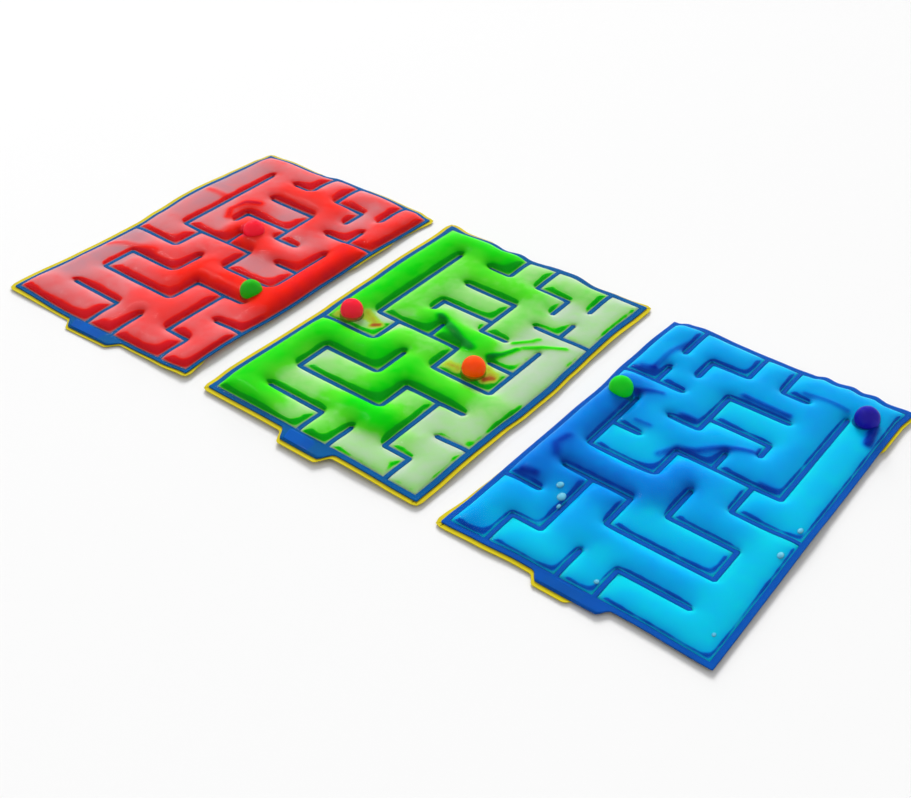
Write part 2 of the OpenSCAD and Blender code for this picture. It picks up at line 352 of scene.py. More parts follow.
FILL_REACH = 9.5 * MM    # how far from its line a filled stretch counts
UNLISTED_WEIGHT = 0.35   # and how much a place away from all of them keeps the pad's own fill
BOW_REACH = 9 * MM       # how far in from the pad's edge its bow is felt
LIFT_REACH = 16 * MM     # and its lift off the table
AT_CORNER = 0.002        # how near to a corner of the pad a place round it is told from the next

HOOD_GAP = 0.32 * MM     # how far the film stands off a marble
HOOD_THICK = 0.12 * MM
HOOD_LEAVES = 1.75       # angle from the top at which it leaves the marble
HOOD_REACH = 7.4 * MM    # radius at which it meets the pad
HOOD_FOOT = 2.8 * MM     # height there
HOOD_SIDES = 48
CAP_RINGS, SKIRT_RINGS = 14, 8                  # of the part over the marble and of its foot

# each marble's body, its node in the CAD and its colour
MARBLES = {
    "green_marble_in_red": ("red_pad_green_marble", (24, 180, 12)),
    "crimson_marble_in_red": ("red_pad_crimson_marble", (246, 26, 56)),
    "red_marble_in_green": ("green_pad_red_marble", (240, 28, 58)),
    "orange_marble_in_green": ("green_pad_orange_marble", (255, 82, 0)),
    "green_marble_in_blue": ("blue_pad_green_marble", (12, 206, 24)),
    "navy_marble_in_blue": ("blue_pad_navy_marble", (26, 14, 160)),
}


# ---------------------------------------------------------------- materials
FILM_SHINE = 0.2         # share of a clear film's reflection that is kept, as it is thin and soft
SLOW_NOISE, FAST_NOISE = 75, 210                # scales of the two noises in the gel, per metre
SLOW_DRIFT, FAST_DRIFT = 0.22, 0.12             # how far they shift its tone
FAST_BREAKS = 0.35       # how much the fast one breaks up the dark, against the slow one
DARK_SHARE = 0.85        # how near a dark patch comes to the tone that "dark" names
# the pale line beside each weld is thin gel and also a painted glint of the film
FOOT_PALE_AND_GLINT = 0.75        # how much paler the gel is right beside a line
# the gel's tone: its least, and what its fill, a fold (thicker gel and painted shade), a slope
# in painted shade and one in painted light add
TONE_LEAST, TONE_FILL, TONE_FOLD_SHADE, TONE_SHADE, TONE_LIGHT = 0.04, 0.66, 1.1, 0.12, -0.2
# levels in a pillow, of which 1 is the middle of a plain channel
FOOT_LEVEL = 0.13        # up to which it is a thin foot
FLANK_LEVEL = 0.2        # from which it counts as a flank in full
BAND_FADES = 0.3         # how far under "band" the dark on a flank begins to fade
CREST_LEVELS = 1.05, 0.45                       # from the crest down, slopes count more


def material(name, **sockets):
    """A new node material, its Principled shader's sockets set by name."""
    mat = bpy.data.materials.new(name)
    mat.use_nodes = True
    shader = mat.node_tree.nodes["Principled BSDF"]
    for socket, value in sockets.items():
        shader.inputs[socket.replace("_", " ")].default_value = value
    return mat, mat.node_tree, shader


def noise_bump(tree, shader, scale, distance, strength):
    """Fine relief from a noise in the piece's own coordinates. Returns the noise node."""
    place = tree.nodes.new("ShaderNodeTexCoord")
    noise = tree.nodes.new("ShaderNodeTexNoise")
    bump = tree.nodes.new("ShaderNodeBump")
    noise.inputs["Scale"].default_value = scale
    noise.inputs["Detail"].default_value = 3
    bump.inputs["Strength"].default_value = strength
    bump.inputs["Distance"].default_value = distance
    tree.links.new(place.outputs["Object"], noise.inputs["Vector"])
    tree.links.new(noise.outputs["Fac"], bump.inputs["Height"])
    tree.links.new(bump.outputs["Normal"], shader.inputs["Normal"])
    return noise


def ramp_of(tree, colours):
    """A colour ramp with the given colours at even steps."""
    ramp = tree.nodes.new("ShaderNodeValToRGB")
    ramp.color_ramp.interpolation = "LINEAR"
    stops = ramp.color_ramp.elements
    while len(stops) < len(colours):
        stops.new(0.5)
    for i, colour in enumerate(colours):
        stops[i].position = i / (len(colours) - 1)
        stops[i].color = srgb(*colour)
    return ramp


def math_node(tree, operation, *inputs):
    """A math node fed by the given sockets or numbers. Returns its output."""
    node = tree.nodes.new("ShaderNodeMath")
    node.operation = operation
    for i, source in enumerate(inputs):
        if isinstance(source, (int, float)):
            node.inputs[i].default_value = source
        else:
            tree.links.new(source, node.inputs[i])
    return node.outputs[0]


def step_node(tree, value, low, high):
    """0 below low, 1 above high and smooth between."""
    node = tree.nodes.new("ShaderNodeMapRange")
    node.interpolation_type = "SMOOTHSTEP"
    node.inputs["From Min"].default_value = low
    node.inputs["From Max"].default_value = high
    tree.links.new(value, node.inputs["Value"])
    return node.outputs[0]


def gel_material(name, spec):
    """Gel whose colour deepens with what the mesh carries.

    "tone" is its depth of colour, with painted shade and light on slopes and folds, "lee" the
    slopes in painted shade, which darken in patches, "foot" the thin gel beside a line, paler as
    thin gel and as a painted glint of the film, and "marble_shadow_and_caustic" a marble's
    painted shadow and caustic light in it."""
    broken, soft = spec["broken"], spec["soft"]
    mat, tree, shader = material(
        name, Roughness=0.5, Specular_IOR_Level=0.05, Subsurface_Weight=0.8, Subsurface_Scale=0.004)
    shader.inputs["Subsurface Radius"].default_value = (1.0, 0.8, 0.8)
    carried = {}
    for key in ("tone", "lee", "foot", "marble_shadow_and_caustic"):
        node = tree.nodes.new("ShaderNodeAttribute")
        node.attribute_name = key
        carried[key] = node.outputs["Fac"]
    place = tree.nodes.new("ShaderNodeTexCoord").outputs["Object"]
    noises = []
    for scale in (SLOW_NOISE, FAST_NOISE):
        noise = tree.nodes.new("ShaderNodeTexNoise")
        noise.inputs["Scale"].default_value = scale
        tree.links.new(place, noise.inputs["Vector"])
        noises.append(math_node(tree, "SUBTRACT", noise.outputs["Fac"], 0.5))
    slow, fast = noises
    edge = math_node(tree, "MULTIPLY_ADD", slow, broken, carried["lee"])
    edge = math_node(tree, "MULTIPLY_ADD", fast, FAST_BREAKS * broken, edge)
    dark = step_node(tree, edge, 0.5 - soft, 0.5 + soft)
    tone = math_node(tree, "MULTIPLY_ADD", slow, SLOW_DRIFT, carried["tone"])
    tone = math_node(tree, "MULTIPLY_ADD", fast, FAST_DRIFT, tone)
    gain = math_node(tree, "SUBTRACT", spec["dark"], tone)
    gain = math_node(tree, "MULTIPLY", gain, DARK_SHARE)
    tone = math_node(tree, "MULTIPLY_ADD", dark, gain, tone)
    # paler at the foot beside a line: thin gel, and a painted glint of the film
    thin = math_node(tree, "MULTIPLY_ADD", carried["foot"], -FOOT_PALE_AND_GLINT, 1.0)
    tone = math_node(tree, "MULTIPLY", tone, thin)
    ramp = ramp_of(tree, spec["tones"])
    tree.links.new(tone, ramp.inputs["Fac"])
    colour = ramp.outputs["Color"]
    # a marble's painted shadow and caustic light, mixed over the gel's colour
    if "marble_shadows_and_caustics" in spec:
        marble_shadow_and_caustic = math_node(tree, "MULTIPLY_ADD", fast, 0.5, carried["marble_shadow_and_caustic"])
        tint = ramp_of(tree, spec["marble_shadow_and_caustic_tones"])
        mix = tree.nodes.new("ShaderNodeMix")
        mix.data_type = "RGBA"
        ends = [s for s in mix.inputs if s.enabled]
        tree.links.new(marble_shadow_and_caustic, tint.inputs["Fac"])
        shadow_and_caustic_share = step_node(tree, marble_shadow_and_caustic, 0.12, 0.4)
        for source, socket in zip((shadow_and_caustic_share, colour, tint.outputs["Color"]), ends):
            tree.links.new(source, socket)
        colour = next(s for s in mix.outputs if s.enabled)
    tree.links.new(colour, shader.inputs["Base Color"])
    return mat


def two_tone(name, dark, light, scale, distance=0.0003, strength=0.35, **sockets):
    """A plastic whose colour drifts between two near tones, over a fine relief."""
    mat, tree, shader = material(name, **sockets)
    noise = noise_bump(tree, shader, scale, distance, strength)
    ramp = ramp_of(tree, [dark, light])
    tree.links.new(noise.outputs["Fac"], ramp.inputs["Fac"])
    tree.links.new(ramp.outputs["Color"], shader.inputs["Base Color"])
    return mat


def clear_material(name):
    """A material that lets all light pass. Returns its clear shader too."""
    mat = bpy.data.materials.new(name)
    mat.use_nodes = True
    tree = mat.node_tree
    tree.nodes.remove(tree.nodes["Principled BSDF"])
    clear = tree.nodes.new("ShaderNodeBsdfTransparent")
    tree.links.new(clear.outputs[0], tree.nodes["Material Output"].inputs["Surface"])
    return mat, tree, clear


def show_over(tree, clear, solid):
    """Puts a mix of a clear and a solid shader on the output. Returns the solid one's share."""
    mix = tree.nodes.new("ShaderNodeMixShader")
    tree.links.new(clear.outputs[0], mix.inputs[1])
    tree.links.new(solid.outputs[0], mix.inputs[2])
    tree.links.new(mix.outputs[0], tree.nodes["Material Output"].inputs["Surface"])
    return mix.inputs[0]


def film_material(name, ior):
    """Clear film: light passes, and a part of it is reflected."""
    mat, tree, clear = clear_material(name)
    clear.inputs["Color"].default_value = (0.99, 0.995, 1, 1)
    shine = tree.nodes.new("ShaderNodeBsdfGlossy")
    shine.inputs["Roughness"].default_value = 0.07
    noise_bump(tree, shine, scale=90, distance=0.0006, strength=0.35)
    fresnel = tree.nodes.new("ShaderNodeFresnel")
    fresnel.inputs["IOR"].default_value = ior
    reflected = math_node(tree, "MULTIPLY", fresnel.outputs[0], FILM_SHINE)
    tree.links.new(reflected, show_over(tree, clear, shine))
    return mat


def shaded_clinging_gel(name, gel_shade_tone, marble_tone):
    """A thin skin of gel through which part of the marble's colour shows; its own colour drifts
    between the two tones given, which are shaded ones: painted shade round the marble's foot.
    """
    mat = two_tone(name, marble_tone, gel_shade_tone, 160, distance=0.0004, strength=0.3,
                   Roughness=0.4, Specular_IOR_Level=0.1)
    tree = mat.node_tree
    clear = tree.nodes.new("ShaderNodeBsdfTransparent")
    show_over(tree, clear, tree.nodes["Principled BSDF"]).default_value = 0.5
    return mat


BUBBLE = two_tone("air_bubble", (10, 150, 200), (130, 214, 230), 420,
                  Roughness=0.2, Specular_IOR_Level=0.5)
FILM = film_material("clear_film", 1.35)
FILM_INSIDE, _, _ = clear_material("film_inside")   # adds no second reflection
WELD = two_tone("blue_weld", (0, 84, 142), (0, 98, 168), 55,
                Roughness=0.6, Specular_IOR_Level=0.1)
TURNED_WELD = two_tone("turned_blue_weld", (0, 78, 168), (0, 92, 192), 55,
                       Roughness=0.6, Specular_IOR_Level=0.1)
SEAL = two_tone("blue_seal", (0, 78, 160), (0, 90, 186), 90,
                Roughness=0.6, Specular_IOR_Level=0.1)
RIM_FILM = two_tone("yellow_film", (192, 176, 14), (216, 198, 26), 70,
                    Roughness=0.6, Specular_IOR_Level=0.2)


# ---------------------------------------------------------------- mesh helpers
def piece(name, verts, faces, materials, face_material=None):
    """A smooth-shaded mesh object from arrays of corners and faces."""
    mesh = bpy.data.meshes.new(name)
    mesh.from_pydata([tuple(v) for v in verts], [], [tuple(int(i) for i in f) for f in faces])
    for mat in materials:
        mesh.materials.append(mat)
    mesh.polygons.foreach_set("use_smooth", [True] * len(mesh.polygons))
    if face_material is not None:
        mesh.polygons.foreach_set("material_index", np.asarray(face_material, dtype=np.int32))
    mesh.update()
    obj = bpy.data.objects.new(name, mesh)
    bpy.context.scene.collection.objects.link(obj)
    return obj


def carry(obj, values, name):
    """Stores a value at each corner, for the material to read."""
    layer = obj.data.attributes.new(name, "FLOAT", "POINT")
    layer.data.foreach_set("value", np.asarray(values, dtype=np.float32))


def closed_sheet(name, top, bottom, keep, materials, inside=0):
    """A closed body between two height grids (nu, nv, 3), over the cells where keep is true.

    Its underside and rim take the material of that number. Returns the object and which of
    the grids' points are in it."""
    nu, nv = keep.shape
    index = np.arange((nu + 1) * (nv + 1)).reshape(nu + 1, nv + 1)
    count = index.size
    a, b = index[:-1, :-1][keep], index[1:, :-1][keep]
    c, d = index[1:, 1:][keep], index[:-1, 1:][keep]
    upper = np.stack([a, b, c, d], 1)
    lower = np.stack([a, d, c, b], 1) + count
    edges = {}
    for face in upper:
        for i in range(4):
            p, q = int(face[i]), int(face[(i + 1) % 4])
            if (q, p) in edges:
                del edges[(q, p)]
            else:
                edges[(p, q)] = True
    rim = np.array([(q, p, p + count, q + count) for p, q in edges], dtype=int).reshape(-1, 4)
    faces = np.concatenate([upper, lower, rim])
    verts = np.concatenate([top.reshape(-1, 3), bottom.reshape(-1, 3)])
    used = np.unique(faces)
    renumber = np.zeros(2 * count, dtype=int)
    renumber[used] = np.arange(len(used))
    slots = np.concatenate([np.zeros(len(upper)), np.full(len(lower) + len(rim), inside)])
    obj = piece(name, verts[used], renumber[faces], materials, slots)
    return obj, used


# ---------------------------------------------------------------- the grid over a pad
def grid_lines(places, cell, count, line_w, margin):
    """Coordinates across a pad, close together at the maze lines and wider between them."""
    length = count * cell
    hard = {-BORDER, length + BORDER, -BORDER / 2, length + BORDER / 2, margin, length - margin}
    for p in places - {0, count}:
        hard.update(p * cell + k * line_w / 2 for k in (-1, -0.5, 0, 0.5, 1))
    hard = sorted(h for h in hard if -BORDER - 1e-9 <= h <= length + BORDER + 1e-9)
    kept = [hard[0]]
    for h in hard[1:]:
        if h - kept[-1] > LEAST_GAP:
            kept.append(h)
    lines = []
    for low, high in zip(kept, kept[1:]):
        lines.append(low)
        gap, steps = high - low, []
        step = FINE
        while 2 * sum(steps) + step < gap - FINE:
            steps.append(step)
            step = min(step * STEP_GROWTH, COARSE)
        total = 2 * sum(steps)
        if steps and gap - total < steps[-1]:
            scale = gap / total
            middle = []
        else:
            scale, middle = 1, [gap - total]
        walk = [s * scale for s in steps] + middle + [s * scale for s in reversed(steps)]
        if len(walk) > 1:
            lines.extend(low + np.cumsum(walk)[:-1])
    lines.append(kept[-1])
    return np.array(lines)


def share(value, low, high):
    """How far a value has come from low to high, from 0 to 1."""
    return np.clip((value - low) / (high - low), 0, 1)


def eased(t):
    return t * t * (3 - 2 * t)


def to_segments(places, u, v):
    """Distance from each point to a line through places (along, across)."""
    best = np.full(u.shape, 1e9)
    for (a0, b0), (a1, b1) in zip(places, places[1:]):
        p = np.array([a0 * CELL_L, b0 * CELL_W])
        q = np.array([a1 * CELL_L, b1 * CELL_W])
        run = q - p
        t = np.clip(((u - p[0]) * run[0] + (v - p[1]) * run[1]) / max(run @ run, 1e-12), 0, 1)
        best = np.minimum(best, np.hypot(u - p[0] - t * run[0], v - p[1] - t * run[1]))
    return best


def felt(places, reach, u, v):
    """1 on a line through places, and falling to 0 over a reach beside it."""
    return np.exp(-(to_segments(places, u, v) / reach) ** 2)


def membrane(us, vs, shut):
    """Height from 0 to 1 of a film that is held down where shut is true and pushed up elsewhere.

    Solves SWELL^2 * laplacian(h) = h - 1 by over-relaxation in a checkerboard order."""
    du, dv = np.diff(us), np.diff(vs)
    west = (2 / (du[:-1] * (du[:-1] + du[1:])))[:, None]
    east = (2 / (du[1:] * (du[:-1] + du[1:])))[:, None]
    south = (2 / (dv[:-1] * (dv[:-1] + dv[1:])))[None, :]
    north = (2 / (dv[1:] * (dv[:-1] + dv[1:])))[None, :]
    pull = 1 / SWELL ** 2
    total = west + east + south + north + pull
    h = np.zeros(shut.shape)
    inner = ~shut[1:-1, 1:-1]
    board = np.add.outer(np.arange(inner.shape[0]), np.arange(inner.shape[1])) % 2
    for _ in range(SWEEPS):
        for colour in (0, 1):
            here = h[1:-1, 1:-1]
            goal = (west * h[:-2, 1:-1] + east * h[2:, 1:-1]
                    + south * h[1:-1, :-2] + north * h[1:-1, 2:] + pull) / total
            pick = inner & (board == colour)
            here[pick] += OVER_RELAXED * (goal[pick] - here[pick])
    return h


class Grid:
    """Places over a pad, and how high the film swells at each of them."""

    def __init__(self, line_w, margin):
        self.line_w, self.margin = line_w, margin
        along, across = ({p[k] for line in MAZE for p in line} for k in (0, 1))
        self.along = grid_lines(along, CELL_L, COLS, line_w, margin)
        self.across = grid_lines(across, CELL_W, ROWS, line_w, margin)
        self.u, self.v = np.meshgrid(self.along, self.across, indexing="ij")
        self.wall_gap = self.to_walls(self.u, self.v)
        self.shut = self.wall_gap < 1e-6
        self.pillow = membrane(self.along, self.across, self.shut)
        mid_u = (self.u[:-1, :-1] + self.u[1:, 1:]) / 2
        mid_v = (self.v[:-1, :-1] + self.v[1:, 1:]) / 2
        self.channel = self.to_walls(mid_u, mid_v) > 0
        self.spots = self.rounded_ends()

    def to_walls(self, u, v):
        """Distance to where the gel ends, negative over a weld."""
        lines = np.min([to_segments(line, u, v) for line in MAZE], axis=0) - self.line_w / 2
        edge = np.minimum(np.minimum(u, LENGTH - u), np.minimum(v, WIDTH - v)) - self.margin
        return np.minimum(lines, edge)

    def rounded_ends(self):
        """The grid, its points by the end of a line moved onto a round end."""
        u, v = self.u.copy(), self.v.copy()
        for line in MAZE:
            for end, other in ((line[0], line[1]), (line[-1], line[-2])):
                p = np.array([end[0] * CELL_L, end[1] * CELL_W])
                away = np.sign([end[0] - other[0], end[1] - other[1]])
                ru, rv = u - p[0], v - p[1]
                beyond = (ru * away[0] + rv * away[1]) > 1e-6
                r = np.hypot(ru, rv)
                near = beyond & (np.abs(r - self.line_w / 2) < 0.35 * MM)
                scale = np.where(near, (self.line_w / 2) / np.maximum(r, 1e-9), 1)
                u, v = p[0] + ru * scale, p[1] + rv * scale
        return u, v

    def at(self, u, v, field):
        """A field's value at the grid point nearest to a place."""
        return field[np.abs(self.along - u).argmin(), np.abs(self.across - v).argmin()]


def outline_warp(tab, u, v):
    """Rounds the pad's corners and draws its near end out into the tab."""
    reach, root, tip = (k * MM for k in tab)
    cu = np.clip(u, CORNER_R - BORDER, LENGTH + BORDER - CORNER_R)
    cv = np.clip(v, CORNER_R - BORDER, WIDTH + BORDER - CORNER_R)
    a, b = u - cu, v - cv
    r = np.hypot(a, b)
    scale = np.where(r > 1e-9, np.maximum(np.abs(a), np.abs(b)) / np.maximum(r, 1e-9), 1)
    u, v = cu + a * scale, cv + b * scale
    inside = share(np.abs(v - WIDTH / 2), root, tip)
    return u - share(-u, 0, BORDER) * reach * eased(inside), v


# ---------------------------------------------------------------- one pad
def fill_field(spec, u, v):
    """How full of gel each place is, from 0 to 1."""
    weight = np.full(u.shape, UNLISTED_WEIGHT)
    total = weight * spec["fill"]
    for fill, places in spec["full"]:
        w = 4 * felt(places, FILL_REACH, u, v)
        weight = weight + w
        total = total + w * fill
    return total / weight


def around(pairs, turn):
    """A value in metres at a place round the pad, eased between the listed (turn, mm) pairs."""
    turns, values = np.array(pairs).T
    i = np.clip(np.searchsorted(turns, turn, side="right") - 1, 0, len(turns) - 2)
    t = share(turn, turns[i], turns[i + 1])
    return (values[i] + (values[i + 1] - values[i]) * eased(t)) * MM


def by_edges(pairs, u, v, reach):
    """What the listed pairs come to at a place, from the near, +across, far and -across edge."""
    tu, tv = (np.clip(t, AT_CORNER, 1 - AT_CORNER) for t in (u / LENGTH, v / WIDTH))
    edges = ((tv, u), (1 + tu, WIDTH - v), (3 - tv, LENGTH - u), (4 - tu, v))
    return [around(pairs, turn) * np.exp(-(np.maximum(depth + BORDER, 0) / reach) ** 2)
            for turn, depth in edges]


def weld_height(spec, u, v, phase):
    """Height of the welded film in a pad that lies loose on a table."""
    edge = np.minimum(np.minimum(u, LENGTH - u), np.minimum(v, WIDTH - v))
    edge = share(edge, EDGE_FALLS, 0)
    wave = (np.sin(u / (19 * MM) + phase) * np.sin(v / (23 * MM) + 2 * phase)
            + 0.6 * np.sin(u / (11 * MM) + 3 * phase + v / (13 * MM)))
    rest = WELD_Z + (EDGE_Z - WELD_Z) * edge ** 2 + EDGE_WAVE * edge * np.clip(wave + 0.2, 0, 2)
    return rest + np.max(by_edges(spec["lift"], u, v, LIFT_REACH), axis=0)


def bowed(spec, u, v):
    """Moves places on the pad as its edges bow and its film lies drawn aside."""
    near, right, far, left = by_edges(spec["bow"], u, v, BOW_REACH)
    du, dv = far - near, right - left
    for along, across, reach, place in spec["pull"]:
        drawn = felt([place, place], reach * MM, u, v) * MM
        du, dv = du + along * drawn, dv + across * drawn
    return u + du, v + dv


class Pad:
    """One pad and its pieces. Its phase sets how the small waves in its border lie."""

    def __init__(self, name, spec, phase):
        self.name, self.spec, self.phase = name, spec, phase
        self.body = name + "_pad"
        low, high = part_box(name + "_edge_rim")
        self.mid_x = (low[0] + high[0]) / 2
        self.start_y = high[1] - RIM - BORDER - LENGTH
        self.side = -1 if spec["mirror"] else 1
        self.grid = Grid(spec["line"] * MM, spec["margin"] * MM)

    def world(self, u, v, z):
        """Points in the shared frame from places on the pad."""
        u, v = bowed(self.spec, *outline_warp(self.spec["tab"], u, v))
        x = self.mid_x + self.side * (v - WIDTH / 2)
        return np.stack([x, self.start_y + u, z + 0 * u], -1)

    def sheet(self, name, top, bottom, keep, materials, inside=0):
        """A piece of the pad between two heights over the cells where keep is true."""
        spots = self.grid.spots
        obj, used = closed_sheet(name, self.world(*spots, top), self.world(*spots, bottom),
                                 keep, materials, inside)
        if self.side > 0:
            obj.data.flip_normals()
        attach(obj, self.body)
        return obj, used

    def build(self):
        """Makes the pad's gel, web, skins, rim, port seal and bubbles."""
        grid = self.grid
        fill = fill_field(self.spec, grid.u, grid.v)
        weld = weld_height(self.spec, grid.u, grid.v, self.phase)
        crest = CREST * (EMPTY_CREST + (1 - EMPTY_CREST) * fill)
        height = crest * (grid.pillow / CHANNEL_RISE) ** ROUNDNESS
        crease = np.zeros(height.shape)
        for rise, spread, places in self.spec["creases"]:
            crease += rise * felt(places, spread * MM, grid.u, grid.v)
        height = height + crease * MM * share(grid.wall_gap, 0, CREASE_FADES)
        height[grid.shut] = 0
        # between the lines the base film lies on the table under the gel's weight
        sag = (weld - UNDERSIDE) * eased(share(grid.wall_gap, 0, SETTLES))
        gel_top, gel_foot = weld + height, weld - sag
        everywhere = np.ones(grid.channel.shape, dtype=bool)

        gel, used = self.sheet(self.name + "_gel", gel_top, gel_foot, grid.channel,
                               [gel_material(self.name + "_gel", self.spec)])
        for key, field in self.looks(fill, crease).items():
            carry(gel, np.concatenate([field.ravel(), field.ravel()])[used], key)
        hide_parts(self.name + "_gel_fill")

        self.rim(weld)
        web, _ = self.sheet(self.name + "_web", weld + WEB_ABOVE, weld - WEB_BELOW, ~grid.channel,
                            [TURNED_WELD if self.spec["mirror"] else WELD])
        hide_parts(self.name + "_maze_web")

        skin, _ = self.sheet(self.name + "_top_skin", gel_top + SKIN_TOP, gel_top + SKIN_INSIDE,
                             everywhere, [FILM, FILM_INSIDE], 1)
        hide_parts(self.name + "_top_film")

        self.seal(weld)
        self.bubbles(gel_top)
        base, _ = self.sheet(self.name + "_base_skin", gel_foot - BASE_INSIDE,
                             gel_foot - BASE_BOTTOM, everywhere, [FILM, FILM_INSIDE], 1)
        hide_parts(self.name + "_base_film")

    def looks(self, fill, crease):
        """What the gel carries for its material, place by place."""
        grid, spec = self.grid, self.spec
        slope_u = np.gradient(grid.pillow, grid.along, axis=0)
        slope_v = np.gradient(grid.pillow, grid.across, axis=1) * self.side
        steep = np.hypot(slope_u, slope_v) * SWELL
        # slopes that fall toward the front of the set, away from the light, look darker
        facing = (slope_u * SHADE_Y + slope_v * SHADE_X) * SWELL / np.maximum(steep, 0.05)
        level = np.clip(grid.pillow / CHANNEL_RISE, 0, 1.2)
        flank = share(level, 0, FLANK_LEVEL) * share(level, spec["band"], spec["band"] - BAND_FADES)
        kept = spec["shy"] + (1 - spec["shy"]) * share(fill, 0, 1 / 2.2)
        kept *= 1 - spec["flush"] * share(fill, 0.55, 0.85)
        slopes = share(level, *CREST_LEVELS)
        lit, shaded = share(-facing, 0, 1) * slopes, share(facing, 0, 1) * slopes
        # a fold deepens the tone as thicker gel and as painted shade; slopes add painted shade and
        # painted light
        tone = (TONE_LEAST + TONE_FILL * fill + TONE_FOLD_SHADE * np.clip(crease, 0, 0.8)
                + TONE_SHADE * shaded + TONE_LIGHT * lit * (1 - 0.8 * fill))
        # where a marble's painted shadow and caustic light lie, kept off the lines
        marble_shadow_and_caustic = np.zeros(fill.shape)
        for depth, spread, places in spec.get("marble_shadows_and_caustics", []):
            spot = depth * felt(places, spread * MM, grid.u, grid.v)
            marble_shadow_and_caustic = np.maximum(marble_shadow_and_caustic, spot * share(grid.wall_gap, 0, MM))
        return {"tone": np.clip(tone, 0, 1), "lee": share(facing, 0.1, 0.5) * flank * kept,
                "foot": share(level, FOOT_LEVEL, 0), "marble_shadow_and_caustic": marble_shadow_and_caustic}

    def seal(self, weld):
        """The filling port's heat seal, pressed flat over the whole tab."""
        deep = np.linspace(-BORDER * 0.06, -BORDER * 0.88, 9)
        wide = np.linspace(-1, 1, 33)
        u, t = np.meshgrid(deep, wide, indexing="ij")
        round_off = 1 - 0.16 * (u / deep[-1]) ** 2
        half_width = (self.spec["tab"][1] - SEAL_SHORT) * MM
        v = WIDTH / 2 + t * half_width * round_off
        z = self.grid.at(-BORDER / 2, WIDTH / 2, weld) + (0.25 - 0.12 * t ** 4) * MM + 0 * u
        keep = np.ones((len(deep) - 1, len(wide) - 1), dtype=bool)
        obj, _ = closed_sheet(self.name + "_port", self.world(u, v, z),
                              self.world(u, v, z - SEAL_THICK), keep, [SEAL])
        if self.side > 0:
            obj.data.flip_normals()
        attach(obj, self.body)
        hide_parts(self.name + "_port_seal")

    def bubbles(self, surface):
        """Flat bubbles of air that have come to rest under the top film."""
        verts, faces = [], []
        sides, rings = 20, 8
        for radius, (a, b) in self.spec.get("bubbles", []):
            u, v = a * CELL_L, b * CELL_W
            ring, lift = ball_rings(radius * MM, 0.3 * radius * MM, sides, rings)
            z = self.grid.at(u, v, surface) + lift
            start = len(verts)
            verts.extend(self.world(u + ring[:, 0], v + ring[:, 1] * 0.8, z))
            faces.extend([[k + start for k in f] for f in ring_faces(rings, sides)])
        if verts:
            obj = piece(self.name + "_bubbles", verts, faces, [BUBBLE])
            if self.side > 0:
                obj.data.flip_normals()
            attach(obj, self.body)

    def rim(self, weld):
        """The yellow film that shows outside the welded border, more or less of it."""
        widths = self.spec["rim"]
        rows = []
        for u, v, out_u, out_v, turn in perimeter():
            show = float(around(widths, turn))
            z = self.grid.at(u, v, weld) - RIM_DROP
            section = ((-RIM_TUCK, 0), (show, 0), (show, RIM_THICK), (-RIM_TUCK, RIM_THICK))
            rows.append([(u + out_u * out, v + out_v * out, z - drop) for out, drop in section])
        rows = np.array(rows)
        verts = self.world(rows[..., 0], rows[..., 1], rows[..., 2]).reshape(-1, 3)
        count = len(rows)
        faces = []
        for i in range(count):
            for k in range(4):
                a, b = i * 4 + k, i * 4 + (k + 1) % 4
                c, d = (i + 1) % count * 4 + (k + 1) % 4, (i + 1) % count * 4 + k
                faces.append((a, b, c, d))
        rim = piece(self.name + "_rim", verts, faces, [RIM_FILM])
        rim.data.shade_flat()
        if self.side < 0:
            rim.data.flip_normals()
        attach(rim, self.body)
        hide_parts(self.name + "_edge_rim")


def ball_rings(radius, height, sides, rings):
    """Points of a flattened ball, ring by ring from its bottom: places and heights."""
    tilt = np.linspace(-math.pi / 2, math.pi / 2, rings)
    turn = np.arange(sides) * 2 * math.pi / sides
    r = np.repeat(np.maximum(np.cos(tilt), 0.02) * radius, sides)
    turn = np.tile(turn, rings)
    places = np.stack([r * np.cos(turn), r * np.sin(turn)], 1)
    return places, np.repeat(np.sin(tilt) * height, sides)


def ring_faces(rings, sides):
    """Faces between rings of points, and over the first and the last ring."""
    faces = []
    for k in range(rings - 1):
        for i in range(sides):
            j = (i + 1) % sides
            faces.append([k * sides + i, k * sides + j, (k + 1) * sides + j,
                          (k + 1) * sides + i])
    faces.append(list(reversed(range(sides))))
    faces.append([(rings - 1) * sides + i for i in range(sides)])
    return faces


